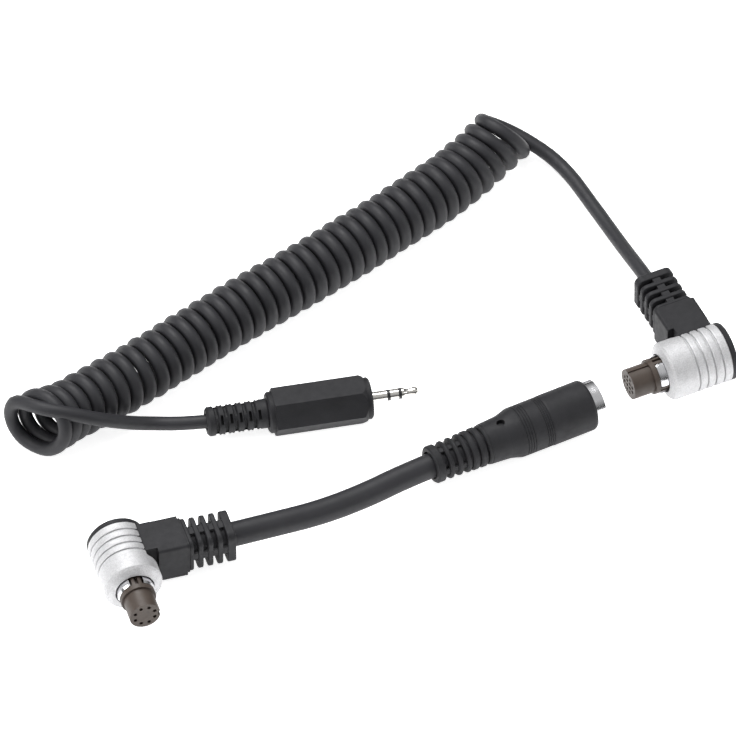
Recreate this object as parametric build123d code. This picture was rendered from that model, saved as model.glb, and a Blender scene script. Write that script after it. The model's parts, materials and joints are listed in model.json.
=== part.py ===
from build123d import *
import math
import os

# Coiled camera release lead with its adaptor lead, both lying on a table. Millimetres, +Z up.
# Each connector is built along its own X axis and then placed on the table.

# ---- driving dimensions ----
CORD_D = 3.2             # coiled lead's cord
ADAPTOR_D = 5.7          # adaptor lead's cord
COIL_OD = 14.4           # outside of the curly coil
FIT = 0.02               # radial gap of parts that are assembled once
CORD_INSIDE = 2.0        # how far a free cord's solid reaches into a strain relief
END_GAP = 0.4            # gap between a free cord's solid and the cable end inside the plug
MOUTH_LENGTH = 3.2       # widened mouth of a strain relief
MOUTH_GAP = 0.4          # radial gap in that mouth

JACK_R = 1.25            # 2.5 mm jack
JACK_TIP = 10.8          # end of the tip, ahead of the body
HEX_FLATS = 9.8          # jack body across flats
JACK_BODY = 23.4         # jack body with its two collars
JACK_RELIEF = 13.8

PLUG_R = 3.5             # insert of a right-angle plug
FLANGE_R = 4.0
CLAW_R = 4.25
SLEEVE_R = 6.65
SLEEVE_BORE = 5.95
SLEEVE_FRONT = 8.0       # sleeve's front face, behind the insert's face
SLEEVE_BACK = 22.8
SLEEVE_TRAVEL = 1.5
NOTCH_FRONT = 12.8       # front end of the sleeve's side notch
BLOCK = 9.8              # square section of the elbow housing
BLOCK_START = 7.0        # housing block's near face, from the insert axis
BLOCK_END = 13.6
RELIEF_END = 24.9        # mouth of a right-angle plug's strain relief, from the insert axis
CABLE_BACK = 17.9        # cable axis, behind the insert's face
CLAWS = 3
FLANGE_BACK = -6.15      # back of the insert's flange
SPRING_BACK = -12.95     # front of the spring's washer
NECK_GAP = 0.25          # gap between the elbow's neck and the sleeve's notch

SHELL_R = 5.0            # in-line socket's metal shell
SHELL_MOUTH_R = 4.42
SOCKET_R = 5.85          # in-line socket's moulded barrel
SOCKET_BODY_START = 13.6
SOCKET_BODY_END = 39.4
SHELL_END = 41.7
SHELL_STEP = 40.1        # back of the shell's mouth bore
PIN_END = 38.3

# x, y, z and azimuth of each connector's own origin and +X
JACK_AT = (-9.54, 16.8, HEX_FLATS / 2, 11.4)
PLUG_A_AT = (47.7, 19.2, SLEEVE_R, 205.6)
PLUG_B_AT = (-59.2, -50.4, SLEEVE_R, -73.6)
SOCKET_AT = (3.7, -4.5, SOCKET_R, 27.9)

# Free cord routes, from connector to coil or connector.
JACK_TAIL = [(-44.05, 9.84, 4.9), (-51.4, 8.8, 4.3), (-60.4, 9.3, 4.1), (-67.8, 5.5, 8.3),
             (-74.3, 3.4, 12.5), (-80.4, 3.8, 14.2), (-86.8, 5.3, 13.4)]
PLUG_TAIL = [(53.9, 47.6, 6.65), (50.0, 55.1, 6.2), (46.0, 63.9, 4.6), (42.2, 72.9, 2.6),
             (38.5, 81.2, 1.8), (33.5, 89.7, 1.8), (26.7, 96.4, 3.6), (17.7, 98.0, 6.0)]
ADAPTOR_ROUTE = [(-42.3, -26.8, 6.65), (-31.3, -22.8, 6.3), (-20.6, -18.3, 5.4),
                 (-10.6, -12.9, 5.2), (-1.9, -7.4, 5.5), (5.5, -3.6, 5.85)]
COIL_AXIS = [(-85.6, 4.6), (-68.0, 16.5), (-51.5, 30.4), (-38.5, 41.4), (-24.9, 51.7),
             (-11.9, 62.5), (1.3, 73.8), (11.5, 83.4), (20.9, 95.9)]

os.makedirs("parts", exist_ok=True)


# ---- helpers ----
def rod(x0, x1, radius):
    """Cylinder along X from x0 to x1."""
    aligned = (Align.CENTER, Align.CENTER, Align.MIN)
    return Pos(x0, 0, 0) * Rot(0, 90, 0) * Cylinder(radius, x1 - x0, align=aligned)


def tube(x0, x1, outer, inner):
    return rod(x0, x1, outer) - rod(x0 - 1, x1 + 1, inner)


def turned(points):
    """Solid of revolution about X from (x, radius) points."""
    return revolve(make_face(Polyline(*points, close=True)), Axis.X)


def block(x0, x1, y0, y1, z0, z1):
    size = (x1 - x0, y1 - y0, z1 - z0)
    return Pos((x0 + x1) / 2, (y0 + y1) / 2, (z0 + z1) / 2) * Box(*size)


def side_rod(x, y0, y1, radius, z=0):
    """Cylinder along Y from y0 to y1."""
    aligned = (Align.CENTER, Align.CENTER, Align.MIN)
    return Pos(x, y0, z) * Rot(-90, 0, 0) * Cylinder(radius, y1 - y0, align=aligned)


def sector(x0, x1, outer, inner, middle_deg, width_deg):
    """Piece of a tube along X, centred on an angle measured from +Y towards +Z."""
    reach = outer * 2
    edges = [math.radians(middle_deg + side * width_deg / 2) for side in (-1, 0, 1)]
    corners = [(0, 0)] + [(reach * math.cos(a), reach * math.sin(a)) for a in edges]
    wedge = extrude(Plane.YZ * make_face(Polyline(*corners, close=True)), amount=x1 - x0)
    return tube(x0, x1, outer, inner) & (Pos(x0, 0, 0) * wedge)


def group(solids):
    return Compound(children=list(solids))


def placed(shape, place, flip=0):
    x, y, z, azimuth = place
    return Pos(x, y, z) * Rot(0, 0, azimuth) * Rot(flip, 0, 0) * shape


def save(name, shape):
    export_step(shape, f"parts/{name}.step")


def cord_tube(route, diameter, label):
    """Round tube along straight runs joined by arcs as large as the runs allow."""
    points = [Vector(*p) for p in route]
    runs = [(b - a).length for a, b in zip(points, points[1:])]
    radii = []
    for i in range(1, len(points) - 1):
        turn = (points[i] - points[i - 1]).get_angle(points[i + 1] - points[i])
        radii.append(0.45 * min(runs[i - 1], runs[i]) / math.tan(math.radians(turn / 2)))
    path = FilletPolyline(*points, radius=radii)
    start = Plane(origin=path @ 0, z_dir=path % 0)
    solid = sweep(start * Circle(diameter / 2), path=path)
    expected = math.pi * diameter ** 2 / 4 * path.length
    print(label, "length", round(path.length, 1), "radii", [round(r, 1) for r in radii],
          "volume ratio", round(solid.volume / expected, 4))
    return solid


def slotted_relief(x_stations, slot, half, core, web):
    """Cutter for a strain relief along X: slabs at each station, round a core and four webs."""
    cutters = []
    for x in x_stations:
        slab = block(x, x + slot, -2 * half, 2 * half, -2 * half, 2 * half)
        keep = rod(x - 1, x + slot + 1, core)
        keep += block(x - 1, x + slot + 1, -2 * half, 2 * half, -web / 2, web / 2)
        keep += block(x - 1, x + slot + 1, -web / 2, web / 2, -2 * half, 2 * half)
        cutters.append(slab - keep)
    return cutters


# ---- jack plug: face of the front collar at x = 0, tip towards +X ----
def make_jack():
    black = 0.7
    ring_front, ring_back, sleeve_front = 6.25, 4.35, 3.65
    stem_r, tip_bush_r, ring_tube_r, ring_bush_r = 0.4, 0.55, 0.7, 0.86
    tag_tip, tag_ring, tag_sleeve = -12.0, -6.4, -3.4
    cable_front = -14.0
    parts = {}
    tip = turned([(ring_front + black, 0), (ring_front + black, JACK_R), (7.4, JACK_R), (8.1, 0.85),
                  (8.6, 0.8), (9.3, 0.95), (9.9, 1.15), (10.2, 1.12), (10.55, 0.9), (JACK_TIP, 0.5), (JACK_TIP, 0)])
    tip += rod(tag_tip + 2.5, ring_front + black, stem_r)
    tip += block(tag_tip, tag_tip + 3, -0.7, 0.7, -0.25, 0.25)
    parts["jack_tip_contact"] = tip
    bush = tube(ring_front, ring_front + black, JACK_R, stem_r + FIT)
    bush += tube(-6.0, ring_front, tip_bush_r, stem_r + FIT)
    parts["jack_tip_insulator"] = bush
    ring = tube(ring_back, ring_front, JACK_R, tip_bush_r + FIT)
    ring += tube(tag_ring, ring_back, ring_tube_r, tip_bush_r + FIT)
    ring += block(tag_ring, tag_ring + 0.4, tip_bush_r + 0.1, 1.6, -0.5, 0.5)
    parts["jack_ring_contact"] = ring
    spacer = tube(sleeve_front, ring_back, JACK_R, ring_tube_r + FIT)
    spacer += tube(tag_sleeve, sleeve_front, ring_bush_r, ring_tube_r + FIT)
    parts["jack_ring_insulator"] = spacer
    neck_r = JACK_R - 0.2
    sleeve = tube(0, sleeve_front, JACK_R, ring_bush_r + FIT)
    sleeve += tube(tag_sleeve + 0.4, 0, neck_r, ring_bush_r + FIT)
    sleeve += tube(tag_sleeve, -1.6, 3.0, ring_bush_r + FIT)
    parts["jack_sleeve_contact"] = sleeve

    wire_r = 0.25
    wires = [rod(cable_front, tag_tip, wire_r), Pos(0, 1.2, 0) * rod(cable_front, tag_ring, wire_r),
             Pos(0, -1.25, 0) * rod(cable_front, tag_sleeve, wire_r)]
    parts["jack_conductors"] = group(wires)
    cord_r = CORD_D / 2
    relief_end = -JACK_BODY - JACK_RELIEF
    parts["jack_cable_end"] = rod(relief_end + CORD_INSIDE + END_GAP, cable_front, cord_r)
    clamp = tube(-18.5, -15.0, cord_r + 0.4, cord_r + FIT)
    parts["jack_cable_clamp"] = clamp

    collar, spigot_start = 1.3, -21.0
    corner = HEX_FLATS / 2 / math.cos(math.radians(30))
    corners = [(corner * math.cos(math.radians(60 * i)), corner * math.sin(math.radians(60 * i)))
               for i in range(6)]
    back, front = -JACK_BODY + collar, -collar
    hexagon = extrude(Plane.YZ * make_face(Polyline(*corners, close=True)), amount=front - back)
    hexagon = Pos(back, 0, 0) * hexagon
    hexagon &= turned([(back, 0), (back, corner - 0.25), (back + 0.25, corner),
                       (front - 1.0, corner), (front, HEX_FLATS / 2 + 0.1), (front, 0)])
    body = hexagon + turned([(-JACK_BODY, 0), (-JACK_BODY, 4.2), (-JACK_BODY + 0.4, 4.65),
                             (back + 0.2, 4.65), (back + 0.2, 0)])
    body += turned([(front - 0.2, 0), (front - 0.2, 4.7), (-0.4, 4.7), (0, 4.3), (0, 0)])
    body -= rod(-2.0, 1.0, neck_r + FIT)
    body -= rod(tag_sleeve - FIT, -1.6 + FIT, 3.0 + FIT)
    body -= rod(cable_front - 0.5, tag_sleeve, 2.3)
    body -= rod(-19.0, cable_front, cord_r + 0.4 + FIT)
    body -= rod(-JACK_BODY - 1, -18.0, cord_r + FIT)
    body -= rod(-JACK_BODY - 1, spigot_start, 2.6 + FIT)
    parts["jack_body"] = body

    outer, valley, deep, pitch, slot = 3.3, 2.98, 2.15, 2.13, 0.62
    stations = [relief_end + 2.2 + pitch * i for i in range(5)]
    profile = [(relief_end, 0), (relief_end, outer - 0.5), (relief_end + 0.5, outer)]
    for x in stations:
        profile += [(x - 0.55, outer), (x - slot / 2, valley), (x + slot / 2, valley), (x + 0.55, outer)]
    relief = turned(profile + [(-JACK_BODY - 0.3, outer), (-JACK_BODY, 3.15), (-JACK_BODY, 2.6),
                               (spigot_start, 2.6), (spigot_start, 0)])
    relief -= rod(relief_end - 1, 0, cord_r + FIT)
    relief -= rod(relief_end - 1, relief_end + MOUTH_LENGTH, cord_r + MOUTH_GAP)
    for i in range(4):
        for x in stations:
            mid = x + pitch / 2
            relief -= Rot(90 * i, 0, 0) * block(x - slot / 2, x + slot / 2, -1.7, 1.7, deep, 5)
            relief -= Rot(90 * i + 45, 0, 0) * block(mid - slot / 2, mid + slot / 2, -1.1, 1.1, deep, 5)
    parts["jack_strain_relief"] = relief
    return parts


# ---- right-angle plug: insert face at x = 0, insert axis along X, cable along +Y ----
def contact_places(count):
    """Hole centres (y, z) in the insert's face: a ring of eight, or rows of 2, 4, 4 and 2."""
    if count == 8:
        ring = 2.4
        return [(ring * math.cos(math.radians(22.5 + 45 * i)), ring * math.sin(math.radians(22.5 + 45 * i)))
                for i in range(8)]
    step = 1.3
    rows = [(-1.5, 2), (-0.5, 4), (0.5, 4), (1.5, 2)]
    return [((k - (n - 1) / 2) * step, row * step) for row, n in rows for k in range(n)]


def make_insert(count, keyed, claw_turn):
    """Insert, seen end of the plug, with its holes, rear ribs between the claws and keyway."""
    rear_r, rear_end, hole_r = 3.2, -14.5, 0.42
    insert = rod(-5.1, 0, PLUG_R) + rod(FLANGE_BACK, -5.0, FLANGE_R) + rod(rear_end, FLANGE_BACK + 0.1, rear_r)
    for i in range(CLAWS):
        for side in (-11, 11):
            insert += sector(-8.4, FLANGE_BACK + 0.1, 3.95, 3.0, claw_turn - 60 + 120 * i + side, 11)
    holes = [Pos(0, y, z) * rod(rear_end - 1, 1, hole_r) for y, z in contact_places(count)]
    insert -= holes
    if keyed:
        insert -= block(-5.0, 1, 3.0, 5, -0.55, 0.55)
    else:
        insert -= block(-5.0, 1, -0.5, 0.5, -5, -3.15)
    return insert


def make_contacts(count):
    contacts = []
    for y, z in contact_places(count):
        contact = rod(-16.0, -0.8, 0.4) + rod(-14.9, -14.5, 0.52) - rod(-6.0, 0, 0.25)
        contacts.append(Pos(0, y, z) * contact)
    return group(contacts)


def make_claw(middle):
    head = sector(-8.7, -6.25, CLAW_R, 3.75, middle, 75)
    head -= turned([(-6.2, 4.0), (-6.2, 4.6), (-6.8, 4.6), (-6.8, CLAW_R)])
    tail = sector(-11.4, -8.5, 3.9, 3.6, middle, 50)
    bridge = sector(-8.7, -8.4, 3.95, 3.6, middle, 50)
    return head + bridge + tail


def make_barrel():
    return turned([(-16.5, 3.22), (-11.6, 3.22), (-11.6, 3.98), (-9.2, 3.98), (-9.2, 4.3),
                   (-13.2, 4.3), (-13.2, 5.88),
                   (-14.0, 5.88), (-14.0, 4.3), (-16.5, 4.3)])


def make_spring_seat():
    """Thin washer on the barrel, between the sleeve's spring and the barrel's flange."""
    return tube(-13.18, SPRING_BACK, 5.85, 4.32)


def make_spring():
    """Light spring between the sleeve's front wall and the barrel's flange."""
    wire_r, mean_r, turns = 0.2, 5.45, 3
    start, end = SPRING_BACK + wire_r, -9.4 - wire_r
    pitch = (end - start - 0.02) / turns
    helix = Pos(start + 0.01, 0, 0) * Rot(0, 90, 0) * Helix(pitch, pitch * turns, mean_r)
    section = Plane(origin=helix @ 0, z_dir=helix % 0) * Circle(wire_r)
    return sweep(section, path=helix, is_frenet=True)


def make_sleeve():
    wall = 9.4
    profile = [(-SLEEVE_FRONT, 4.5), (-8.15, 5.0), (-8.7, 6.2), (-9.2, SLEEVE_R)]
    for groove in (14.6, 16.6, 18.6, 20.7):
        profile += [(-groove + 0.5, SLEEVE_R), (-groove + 0.2, SLEEVE_R - 0.1), (-groove + 0.15, 6.2),
                    (-groove - 0.15, 6.2), (-groove - 0.2, SLEEVE_R - 0.1), (-groove - 0.5, SLEEVE_R)]
    profile += [(-SLEEVE_BACK + 0.2, SLEEVE_R), (-SLEEVE_BACK, SLEEVE_R - 0.2),
                (-SLEEVE_BACK, SLEEVE_BORE), (-wall, SLEEVE_BORE), (-wall, 4.5)]
    sleeve = turned(profile)
    half = BLOCK / 2 + NECK_GAP
    notch = block(-SLEEVE_BACK - 1, -NOTCH_FRONT, 0, 9, -half, half)
    corner_r = 0.5
    notch = fillet(notch.edges().filter_by(Axis.Y).sort_by(Axis.X)[-2:], corner_r)
    return sleeve - notch


def make_back_cap():
    """Domed cap pressed into the sleeve's back."""
    rim_r = 6.6
    cap = turned([(-24.75, 0), (-24.65, 3.6), (-24.4, 5.6), (-24.15, 6.35), (-23.8, rim_r),
                  (-SLEEVE_BACK, rim_r), (-SLEEVE_BACK, 0)])
    spigot = tube(-SLEEVE_BACK, -21.4, SLEEVE_BORE - FIT, 5.3)
    spigot -= block(-24, -21, 0, 8, -BLOCK / 2 - NECK_GAP, BLOCK / 2 + NECK_GAP)
    return cap + spigot


def make_housing(cord_r):
    """Elbow moulding: core inside the sleeve, neck through its notch, and the outer block."""
    lid_back = SLEEVE_BACK - 0.04
    core = rod(-21.2, -14.05, 5.7) + rod(-lid_back, -21.0, 5.05)
    half = BLOCK / 2
    neck = block(-22.5, -NOTCH_FRONT - SLEEVE_TRAVEL - 0.15, 0, BLOCK_START + 0.5, -half, half)
    outer = block(-CABLE_BACK - half, -CABLE_BACK + half, BLOCK_START, BLOCK_END, -half, half)
    outer = fillet(outer.edges().filter_by(Axis.Y), 0.7)
    taper = block(-CABLE_BACK - half + 0.3, -CABLE_BACK + half - 0.3, BLOCK_END - 0.5, BLOCK_END + 0.6,
                  -half + 0.3, half - 0.3)
    taper = fillet(taper.edges().filter_by(Axis.Y), 1.0)
    outer = outer + taper
    housing = core + neck + outer
    housing -= rod(-17.0, -14.0, 4.3 + FIT)
    housing -= rod(-21.9, -16.0, 3.6)
    housing -= rod(-lid_back - 1, -21.9, 4.2 + FIT)
    housing -= side_rod(-CABLE_BACK, 0, BLOCK_START + 1, cord_r)
    housing -= side_rod(-CABLE_BACK, 6.5, 40, cord_r + FIT)
    housing -= side_rod(-CABLE_BACK, 8.0, 10.6, cord_r + 0.4 + FIT)
    spigot_r = cord_r + 1.0
    housing -= side_rod(-CABLE_BACK, 11.2, 40, spigot_r + FIT)
    return housing


def make_relief(cord_r, core_r):
    """Square strain relief of rounded ribs, built along X and turned to the cable's direction."""
    start, web = BLOCK_END + 0.6, 0.9
    rib, pitch, end_ring = 1.15, 2.25, 1.9
    half, foot = 4.5, 4.6
    relief = rod(11.3, RELIEF_END, max(core_r, cord_r + 0.7))
    relief += block(start, RELIEF_END - 0.4, -web, web, 0.3 - half, half - 0.3)
    relief += block(start, RELIEF_END - 0.4, 0.3 - half, half - 0.3, -web, web)
    first = RELIEF_END - end_ring - 3 * pitch - (pitch - rib)
    plates = [(start, first - start, foot)]
    plates += [(first + (pitch - rib) + pitch * i, rib, half) for i in range(3)]
    plates += [(RELIEF_END - end_ring, end_ring, half)]
    for x, thick, size in plates:
        plate = extrude(Plane.YZ * RectangleRounded(2 * size, 2 * size, 1.7), amount=thick)
        rims = plate.edges().group_by(Axis.X)
        plate = fillet(rims[0] + rims[-1], 0.3)
        relief += Pos(x, 0, 0) * plate
    relief -= rod(10, RELIEF_END + 1, cord_r + FIT)
    relief -= rod(RELIEF_END - MOUTH_LENGTH, RELIEF_END + 1, cord_r + MOUTH_GAP)
    return Pos(-CABLE_BACK, 0, 0) * Rot(0, 0, 90) * relief


def make_wires(starts, end_y, wire_r):
    """Conductors from the contact cups, turned a right angle into the cable."""
    wires = []
    for y, z, turn_t in starts:
        path = FilletPolyline((-16.05, y, z), (-turn_t, y, z), (-turn_t, end_y, z), radius=0.8)
        section = Plane(origin=path @ 0, z_dir=path % 0) * Circle(wire_r)
        wires.append(sweep(section, path=path))
    return group(wires)


def make_plug(letter, count, keyed, claw_turn, cord_d, core_r, wire_starts):
    cord_r = cord_d / 2
    cable_start = 6.6
    clamp = side_rod(-CABLE_BACK, 8.1, 10.5, cord_r + 0.4) - side_rod(-CABLE_BACK, 7, 12, cord_r + FIT)
    fixed = {
        "insert": make_insert(count, keyed, claw_turn),
        "contacts": make_contacts(count),
        "barrel": make_barrel(),
        "spring_seat": make_spring_seat(),
        "sleeve_spring": make_spring(),
        "housing": make_housing(cord_r),
        "inner_lid": rod(-22.5, -21.92, 4.2),
        "cable_clamp": clamp,
        "cable_end": side_rod(-CABLE_BACK, cable_start, RELIEF_END - CORD_INSIDE - END_GAP, cord_r),
        "conductors": make_wires(wire_starts, cable_start, 0.3),
        "strain_relief": make_relief(cord_r, core_r),
        "release_sleeve": make_sleeve(),
        "back_cap": make_back_cap(),
    }
    for i in range(CLAWS):
        fixed[f"latch_claw_{i + 1}"] = make_claw(claw_turn + 120 * i)
    return {f"plug_{letter}_{name}": shape for name, shape in fixed.items()}


# ---- in-line socket: cord end at x = 0, open end towards +X ----
def make_socket():
    cord_r = ADAPTOR_D / 2
    parts = {}
    ring_ends = [(0, 2.1, 4.35), (3.1, 4.2, 4.35), (5.2, 6.3, 4.4), (7.3, 8.4, 4.5), (8.8, 10.4, 4.55),
                 (10.8, 12.4, 4.6)]
    core_r = 3.75
    relief = rod(0.2, SOCKET_BODY_START, core_r)
    for x0, x1, radius in ring_ends:
        soft = 0.35
        relief += turned([(x0, 0), (x0, radius - soft), (x0 + soft, radius), (x1 - soft, radius),
                          (x1, radius - soft), (x1, 0)])
    relief += turned([(12.8, 0), (12.8, 4.3), (13.1, 4.6), (SOCKET_BODY_START, 4.6), (SOCKET_BODY_START, 0)])
    relief -= slotted_relief((2.1, 4.2, 6.3), 1.0, 4.6, cord_r + 0.35, 1.2)
    relief += rod(SOCKET_BODY_START - 0.5, 17.0, cord_r + 0.9)
    relief -= rod(-1, 20, cord_r + FIT)
    relief -= rod(-1, MOUTH_LENGTH, cord_r + MOUTH_GAP)
    parts["socket_strain_relief"] = relief

    profile = [(SOCKET_BODY_START, 0), (SOCKET_BODY_START, 4.7), (18.2, 5.0), (19.6, 5.35),
               (20.7, 5.7), (21.3, 5.78)]
    groove = 0.16
    for first in (21.6, 26.6):
        step = 0.62 if first < 24 else 0.5
        for i in range(4):
            x = first + step * i
            profile += [(x, 5.78), (x + 0.1, 5.78 - groove), (x + 0.24, 5.78 - groove), (x + 0.34, 5.78)]
    profile += [(28.9, SOCKET_R), (38.7, SOCKET_R), (39.2, SOCKET_R - 0.25), (SOCKET_BODY_END, SOCKET_R - 0.6),
                (SOCKET_BODY_END, 0)]
    body = turned(profile)
    body -= rod(13, 17.05, cord_r + 0.9 + FIT)
    body -= rod(13, 20.5, cord_r + FIT)
    body -= rod(17.3, 20.5, cord_r + 0.4 + FIT)
    body -= rod(20.0, 31.0, 3.9)
    body -= rod(30.9, 41, SHELL_R + FIT)
    body -= Pos(17.6, 0, 5.0) * Cylinder(0.95, 2)
    parts["socket_body"] = body

    shell = rod(31.0, SHELL_END, SHELL_R) - rod(30, SHELL_END + 1, 4.32)
    shell -= rod(SHELL_STEP, SHELL_END + 1, SHELL_MOUTH_R)
    shell -= rod(SHELL_STEP - 0.8, SHELL_STEP, 4.7)
    key = sector(SOCKET_BODY_END + 0.2, SHELL_END, SHELL_R + 0.18, SHELL_R - 0.3, -45 + 90, 27)
    shell += key
    parts["socket_shell"] = shell

    wire_start, wire_end = 22.3, 29.5
    pins, insulator = [], rod(31.2, 34.4, 4.3)
    for y, z in contact_places(12):
        insulator -= Pos(0, y, z) * rod(30, 36, 0.31)
        pins.append(Pos(0, y, z) * (rod(wire_end, PIN_END, 0.3) + rod(30.6, 31.2, 0.5)))
    parts["socket_insulator"] = insulator
    parts["socket_pins"] = group(pins)
    parts["socket_cable_end"] = rod(CORD_INSIDE + END_GAP, wire_start, cord_r)
    parts["socket_cable_clamp"] = tube(17.4, 19.8, cord_r + 0.4, cord_r + FIT)
    wires = [Pos(0, y, z) * rod(wire_start, wire_end, 0.28) for y, z in contact_places(12) if abs(z) < 1]
    parts["socket_conductors"] = group(wires)
    return parts


# ---- cords ----
def make_cords():
    coil_route = [(x, y, COIL_OD / 2) for x, y in COIL_AXIS]
    coil = cord_tube(coil_route, COIL_OD, "coil")
    return {
        "coil_cord": coil,
        "jack_tail_cord": cord_tube(JACK_TAIL, CORD_D, "jack tail") - coil,
        "plug_tail_cord": cord_tube(PLUG_TAIL, CORD_D, "plug tail") - coil,
        "adaptor_cord": cord_tube(ADAPTOR_ROUTE, ADAPTOR_D, "adaptor cord"),
    }


# ---- write every sub-part ----
WIRES_A = [(1.95, 0.65, 17.3), (1.95, -0.65, 17.3), (0.65, 0.65, 18.5)]
WIRES_B = [(0.92, 2.22, 17.9), (2.22, 0.92, 17.9), (2.22, -0.92, 17.9), (0.92, -2.22, 17.9)]

sets = [
    (make_jack(), JACK_AT, 0),
    (make_plug("a", 12, False, 222, CORD_D, 2.3, WIRES_A), PLUG_A_AT, 180),
    (make_plug("b", 8, True, 150, ADAPTOR_D, 3.45, WIRES_B), PLUG_B_AT, 0),
    (make_socket(), SOCKET_AT, 0),
]
for shapes, place, flip in sets:
    for name, shape in shapes.items():
        save(name, placed(shape, place, flip))
for name, shape in make_cords().items():
    save(name, shape)
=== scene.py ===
import json
import math
import random

import bpy
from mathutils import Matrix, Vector


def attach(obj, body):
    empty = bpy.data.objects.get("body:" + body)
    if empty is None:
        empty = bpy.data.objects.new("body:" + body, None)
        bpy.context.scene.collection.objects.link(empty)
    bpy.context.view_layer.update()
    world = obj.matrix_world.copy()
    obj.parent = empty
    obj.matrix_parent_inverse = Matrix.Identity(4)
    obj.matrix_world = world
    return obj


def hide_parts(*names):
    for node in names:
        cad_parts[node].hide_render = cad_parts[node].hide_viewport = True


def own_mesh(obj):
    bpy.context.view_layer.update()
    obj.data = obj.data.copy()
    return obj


# A coiled camera release lead and its adaptor lead, lying on a white table.
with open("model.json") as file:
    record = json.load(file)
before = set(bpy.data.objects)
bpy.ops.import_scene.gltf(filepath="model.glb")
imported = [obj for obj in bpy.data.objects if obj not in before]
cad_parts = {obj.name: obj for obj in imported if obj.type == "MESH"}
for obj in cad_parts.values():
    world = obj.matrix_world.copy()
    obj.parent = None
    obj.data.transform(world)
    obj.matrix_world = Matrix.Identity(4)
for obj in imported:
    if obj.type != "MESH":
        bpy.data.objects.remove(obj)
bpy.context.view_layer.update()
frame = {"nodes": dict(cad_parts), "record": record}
MM = 0.001

# Free cord routes, in millimetres: from each connector to the coil, out of the coil's far end, between
# the adaptor's two connectors, and the coil's axis on the table.
JACK_TAIL = [(-44.05, 9.84, 4.9), (-50.6, 9.5, 4.3), (-57.5, 10.4, 3.4), (-63.6, 8.0, 6.2),
             (-70.0, 4.8, 10.8), (-76.6, 4.4, 13.2), (-82.4, 5.0, 14.0)]
PLUG_TAIL = [(53.9, 47.6, 6.65), (51.2, 53.3, 6.4), (48.6, 59.6, 4.6), (45.5, 67.2, 2.6),
             (42.3, 74.2, 1.75), (38.9, 80.7, 1.65), (35.6, 87.0, 1.7), (31.2, 92.6, 2.4),
             (25.6, 96.0, 4.2)]
COIL_EXIT = [(15.2, 98.0, 8.6), (17.3, 99.1, 6.6), (21.2, 98.3, 5.2)]
ADAPTOR_ROUTE = [(-42.3, -26.8, 6.65), (-31.3, -22.8, 6.3), (-20.6, -18.3, 5.4),
                 (-10.6, -12.9, 5.2), (-1.9, -7.4, 5.5), (5.5, -3.6, 5.85)]
COIL_AXIS = [(-85.6, 4.6), (-68.0, 16.5), (-51.5, 30.4), (-38.5, 41.4), (-24.9, 51.7),
             (-11.9, 62.5), (1.3, 73.8), (11.5, 83.4), (20.9, 95.9)]
COIL_HEIGHT = 7.2        # the coil's axis above the table
CORD_D = 3.2
ADAPTOR_D = 5.7

# The coil's turns, in millimetres and turns counted from the jack's end.
TURNS = 39.2
POINTS_PER_TURN = 14
SPLINE_SHRINK = 0.975    # an order 3 spline through that many points runs inside them by this ratio
COIL_START, COIL_STOP = 1.2, 1.4    # lengths of axis left free at its two ends
JOIN = 2                 # first points of the coil that the jack's tail takes the place of

# The right-angle plugs: insert face (x, y), height, and the way the insert points, in degrees.
PLUGS = {"a": (47.7, 19.2, 6.65, 205.6), "b": (-59.2, -50.4, 6.65, -73.6)}


# ---- camera, floor and light ----
def look_from(azimuth, elevation, target, distance, lens):
    """The camera, far away with a long lens; azimuth 0 looks along +Y."""
    data = bpy.data.cameras.new("camera")
    data.lens, data.sensor_width = lens, 36
    data.clip_start, data.clip_end = 0.1, 60
    camera = bpy.data.objects.new("camera", data)
    bpy.context.scene.collection.objects.link(camera)
    a, e = math.radians(azimuth), math.radians(elevation)
    back = Vector((math.sin(a) * math.cos(e), -math.cos(a) * math.cos(e), math.sin(e)))
    camera.location = Vector(target) + back * distance
    camera.rotation_euler = (-back).to_track_quat("-Z", "Y").to_euler()
    bpy.context.scene.camera = camera


def softbox(name, place, target, size, power):
    """A square area light at a place, turned towards a target."""
    data = bpy.data.lights.new(name, "AREA")
    data.shape, data.size, data.energy = "SQUARE", size, power
    lamp = bpy.data.objects.new(name, data)
    bpy.context.scene.collection.objects.link(lamp)
    lamp.location = Vector(place)
    lamp.rotation_euler = (Vector(target) - Vector(place)).to_track_quat("-Z", "Y").to_euler()


look_from(0, 47.0, (-0.0101, 0.0304, 0.0), 6.816, 1500)
softbox("softbox_top", (-0.2, 0.3, 0.8), (0, 0.03, 0), 0.5, 7)
softbox("softbox_left", (-0.75, -0.25, 0.5), (0, 0.03, 0), 0.4, 2.5)
softbox("softbox_right", (0.8, -0.1, 0.4), (0, 0.03, 0), 0.3, 1.2)

# The studio is dim near the horizon and bright overhead, so that metal shows its form.
world = bpy.data.worlds.new("studio")
world.use_nodes = True
tree = world.node_tree
direction = tree.nodes.new("ShaderNodeTexCoord").outputs["Generated"]
split = tree.nodes.new("ShaderNodeSeparateXYZ")
tree.links.new(direction, split.inputs["Vector"])
sky = tree.nodes.new("ShaderNodeValToRGB")
for element, (place, grey) in zip(sky.color_ramp.elements, ((0.15, 0.06), (0.75, 1.0))):
    element.position, element.color = place, (grey, grey, grey, 1)
tree.links.new(split.outputs["Z"], sky.inputs["Fac"])
tree.links.new(sky.outputs["Color"], tree.nodes["Background"].inputs["Color"])
tree.nodes["Background"].inputs["Strength"].default_value = 0.5
bpy.context.scene.world = world
bpy.context.scene.view_settings.view_transform = "Standard"
bpy.context.scene.view_settings.look = "None"

bpy.ops.mesh.primitive_plane_add(size=6, location=(0, 0, -0.0002))
floor = bpy.context.object
floor.name = "floor"


# ---- materials ----
NOISE_LOW, NOISE_HIGH = 0.3, 0.7    # most of a noise texture's values lie between these


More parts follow.
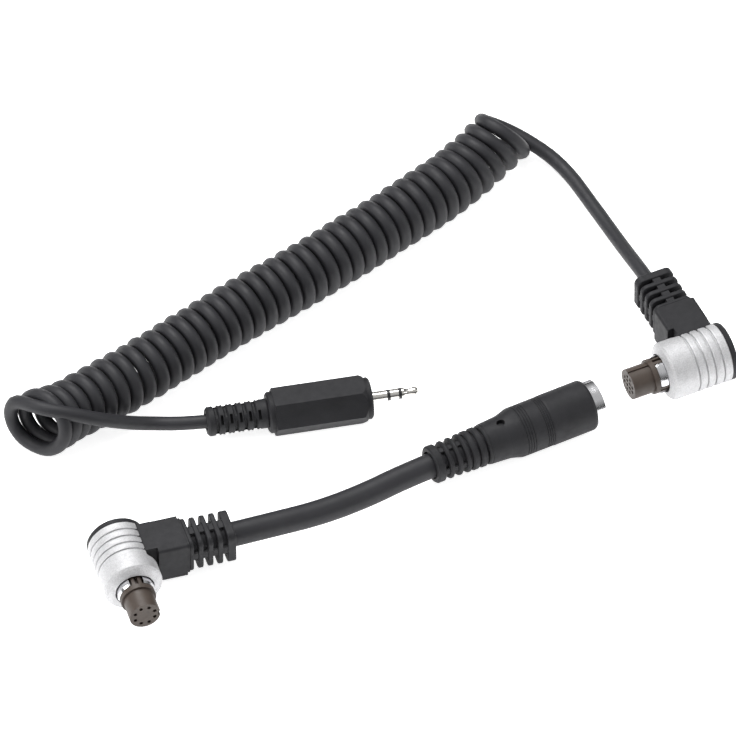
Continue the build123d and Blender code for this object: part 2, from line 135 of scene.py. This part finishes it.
class Nodes:
    """A material's node tree, with the surface's own coordinates in metres."""

    def __init__(self, name):
        self.material = bpy.data.materials.new(name)
        self.material.use_nodes = True
        self.tree = self.material.node_tree
        self.shader = self.tree.nodes["Principled BSDF"]
        self.coords = self.tree.nodes.new("ShaderNodeTexCoord").outputs["Object"]

    def link(self, a, b):
        self.tree.links.new(a, b)

    def noise(self, scale, detail=3.0, roughness=0.55):
        node = self.tree.nodes.new("ShaderNodeTexNoise")
        node.inputs["Scale"].default_value = scale
        node.inputs["Detail"].default_value = detail
        node.inputs["Roughness"].default_value = roughness
        self.link(self.coords, node.inputs["Vector"])
        return node.outputs["Fac"]

    def ramp(self, value, stops):
        """Colours by value; a stop's colour is three numbers, or one number for a grey."""
        node = self.tree.nodes.new("ShaderNodeValToRGB")
        ramp = node.color_ramp
        while len(ramp.elements) < len(stops):
            ramp.elements.new(0.5)
        for element, (place, colour) in zip(ramp.elements, stops):
            element.position = place
            rgb = colour if isinstance(colour, tuple) else (colour,) * 3
            element.color = (*rgb, 1)
        self.link(value, node.inputs["Fac"])
        return node.outputs["Color"]

    def span(self, value, low, high):
        """A number from low to high as a noise goes through its usual range."""
        node = self.tree.nodes.new("ShaderNodeMapRange")
        ends = (("From Min", NOISE_LOW), ("From Max", NOISE_HIGH), ("To Min", low), ("To Max", high))
        for key, number in ends:
            node.inputs[key].default_value = number
        self.link(value, node.inputs["Value"])
        return node.outputs["Result"]

    def bump(self, value, depth, strength=1.0, under=None):
        """A normal from a height of depth metres, laid over another normal if one is given."""
        node = self.tree.nodes.new("ShaderNodeBump")
        node.inputs["Strength"].default_value = strength
        node.inputs["Distance"].default_value = depth
        self.link(value, node.inputs["Height"])
        if under is not None:
            self.link(under, node.inputs["Normal"])
        return node.outputs["Normal"]

    def finish(self, colour=None, rough=None, normal=None, **fixed):
        """The material, with the varied values linked and the even ones set on the shader."""
        for value, key in ((colour, "Base Color"), (rough, "Roughness"), (normal, "Normal")):
            if value is not None:
                self.link(value, self.shader.inputs[key])
        for key, value in fixed.items():
            self.shader.inputs[key.replace("_", " ")].default_value = value
        return self.material


def two_tone(colour, spread, lighter):
    """Ramp stops from a darker to a lighter version of a colour."""
    return [(NOISE_LOW, tuple(c * (1 - spread) for c in colour)),
            (NOISE_HIGH, tuple(c * (1 + lighter) for c in colour))]


def moulded(name, colour, grain, depth, rough, spread=0.18, specular=0.45):
    """Moulded plastic or rubber: fine spark-eroded grain, faint flow marks and slightly uneven gloss."""
    n = Nodes(name)
    clouds = n.noise(160, 4)
    fine = n.noise(grain, 2, 0.6)
    return n.finish(
        colour=n.ramp(clouds, two_tone(colour, spread, spread)),
        rough=n.span(n.noise(700, 3), *rough),
        normal=n.bump(clouds, depth * 1.5, 0.4, n.bump(fine, depth)),
        Specular_IOR_Level=specular)


def metal(name, colour, rough, grain, depth, spread=0.04, cloud=220):
    """Metal with a fine surface grain, uneven gloss and slight clouds in its tone."""
    n = Nodes(name)
    clouds = n.noise(cloud, 4)
    return n.finish(
        colour=n.ramp(clouds, two_tone(colour, spread, spread * 0.3)),
        rough=n.span(n.noise(900, 3), *rough),
        normal=n.bump(n.noise(grain, 2, 0.7), depth),
        Metallic=1.0)


BLACK = (0.018, 0.018, 0.0205)
LOOKS = {name: make(name, *looks) for name, make, *looks in (
    ("cord_rubber", moulded, (0.0235, 0.0235, 0.027), 5200, 0.00001, (0.5, 0.6), 0.10, 0.36),
    ("relief_rubber", moulded, BLACK, 4200, 0.000018, (0.55, 0.68), 0.18, 0.32),
    ("moulding_black", moulded, BLACK, 3600, 0.00002, (0.55, 0.66), 0.18, 0.3),
    ("contact_black", moulded, (0.015, 0.015, 0.016), 2600, 0.000004, (0.25, 0.35)),
    ("insert_brown", moulded, (0.060, 0.045, 0.036), 3000, 0.00001, (0.42, 0.55)),
    ("sleeve_aluminium", metal, (0.68, 0.68, 0.69), (0.62, 0.75), 5200, 0.00006, 0.2, 3600),
    ("bright_chrome", metal, (0.80, 0.80, 0.82), (0.14, 0.24), 1800, 0.000004),
    ("contact_nickel", metal, (0.84, 0.82, 0.78), (0.16, 0.26), 2200, 0.000004),
    ("spring_steel", metal, (0.55, 0.55, 0.57), (0.22, 0.32), 2500, 0.000004),
    ("conductor_sleeves", moulded, (0.40, 0.06, 0.04), 3000, 0.000006, (0.4, 0.5)),
)}
for part in frame["record"]["subparts"]:
    node = frame["nodes"][part["node"]]
    for place in node.material_slots:
        place.material = LOOKS[part["material_slot"]]

paper = Nodes("floor_white")
floor.data.materials.append(paper.finish(
    colour=paper.ramp(paper.noise(30, 4), [(0.3, 0.93), (0.7, 0.95)]), Roughness=0.9))
paper.shader.inputs["Emission Color"].default_value = (1, 1, 1, 1)
paper.shader.inputs["Emission Strength"].default_value = 0.8


# ---- the cords ----
def spline_piece(name, points, diameter, material, resolution):
    """One smooth cord: an open NURBS curve of order 3 with a round section."""
    data = bpy.data.curves.new(name, "CURVE")
    data.dimensions, data.resolution_u = "3D", resolution
    data.bevel_depth, data.bevel_resolution = diameter / 2 * MM, 4
    data.use_fill_caps = True
    spline = data.splines.new("NURBS")
    spline.points.add(len(points) - 1)
    for point, place in zip(spline.points, points):
        point.co = (place[0] * MM, place[1] * MM, place[2] * MM, 1)
    spline.order_u = 3
    spline.use_endpoint_u = True
    piece = bpy.data.objects.new(name, data)
    bpy.context.scene.collection.objects.link(piece)
    if material:
        data.materials.append(material)
    return piece


def followed(points):
    """The smooth line of a route's NURBS spline, as points in millimetres with the length so far."""
    guide = spline_piece("guide", points, 0, None, 24)
    mesh = bpy.data.meshes.new_from_object(guide)
    line = [v.co / MM for v in mesh.vertices]
    bpy.data.objects.remove(guide)
    bpy.data.meshes.remove(mesh)
    lengths = [0.0]
    for a, b in zip(line, line[1:]):
        lengths.append(lengths[-1] + (b - a).length)
    return line, lengths


def along(line, lengths, s):
    """Point and direction at length s, carried straight on past either end."""
    if s <= 0:
        direction = (line[1] - line[0]).normalized()
        return line[0] + direction * s, direction
    if s >= lengths[-1]:
        direction = (line[-1] - line[-2]).normalized()
        return line[-1] + direction * (s - lengths[-1]), direction
    i = next(k for k in range(1, len(lengths)) if lengths[k] >= s)
    share = (s - lengths[i - 1]) / (lengths[i] - lengths[i - 1])
    return line[i - 1].lerp(line[i], share), (line[i] - line[i - 1]).normalized()


def ease(x):
    """Smooth step: 0 up to x = 0, 1 from x = 1."""
    x = max(0.0, min(1.0, x))
    return x * x * (3 - 2 * x)


def pitches(rng):
    """Relative length of each turn: the first ones close, then open, and opening again at the end."""
    return [1.04 - 0.1 * (k < 3) + rng.uniform(-0.03, 0.03)
            - 0.07 * ease((k - 8) / 4) + 0.16 * ease((k - 32) / 5) for k in range(int(TURNS) + 2)]


def turned(direction, angle):
    """A level direction turned to the left by an angle."""
    return Vector((direction.x * math.cos(angle) - direction.y * math.sin(angle),
                   direction.x * math.sin(angle) + direction.y * math.cos(angle), 0))


def curly():
    """Points of the curly part, from the top of its left end to the far side of its right end."""
    rng = random.Random(7)
    line, lengths = followed([(x, y, COIL_HEIGHT) for x, y in COIL_AXIS])
    pitch = pitches(rng)
    scale = (lengths[-1] - COIL_START - COIL_STOP) / sum(pitch[:int(TURNS)])
    wobble = [rng.uniform(-0.12, 0.12) for k in range(int(TURNS) + 3)]
    places = []
    for i in range(int(TURNS * POINTS_PER_TURN) + 1):
        turn = i / POINTS_PER_TURN
        k, share = int(turn), turn - int(turn)
        s = COIL_START + scale * (sum(pitch[:k]) + pitch[k] * share)
        centre, axis = along(line, lengths, s)
        # The end turns swell, the first ones are turned to the left, and the last ones lean back.
        uneven = wobble[k] * (1 - share) + wobble[k + 1] * share
        radius = (COIL_HEIGHT - CORD_D / 2 + uneven) / SPLINE_SHRINK
        swell = 1.4 * (1 - ease(turn / 3)) + 0.25 * ease((turn - TURNS + 1.6) / 1.2)
        yaw = math.radians(4 + 12 * (1 - ease((turn - 1) / 7)))
        lean = 0.3 * ease((turn - 1) / 9) - 0.22 + 0.54 * ease((turn - TURNS + 6) / 6)
        ahead = turned(axis, yaw)
        far = Vector((-ahead.y, ahead.x, 0))
        side = math.sin(2 * math.pi * turn)
        up = math.cos(2 * math.pi * turn)
        place = centre + (radius + swell) * side * far - radius * lean * up * axis
        height = COIL_HEIGHT + swell / 2 + (radius + swell / 2) * up
        place.z = max(height, CORD_D / 2 + 0.05)
        places.append(place)
    return places


coiled_points = JACK_TAIL + curly()[JOIN:] + COIL_EXIT + PLUG_TAIL[::-1]
coiled = spline_piece("coiled_cord", coiled_points, CORD_D, LOOKS["cord_rubber"], 3)
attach(coiled, "coiled_lead")
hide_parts("jack_tail_cord", "coil_cord", "plug_tail_cord")

adaptor = spline_piece("adaptor_flex", ADAPTOR_ROUTE, ADAPTOR_D, LOOKS["cord_rubber"], 12)
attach(adaptor, "adaptor_lead")
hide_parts("adaptor_cord")

# ---- the sleeve springs, which shorten towards their washers ----
for plug, (x, y, z, azimuth) in PLUGS.items():
    spring = frame["nodes"][f"plug_{plug}_sleeve_spring"]
    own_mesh(spring)
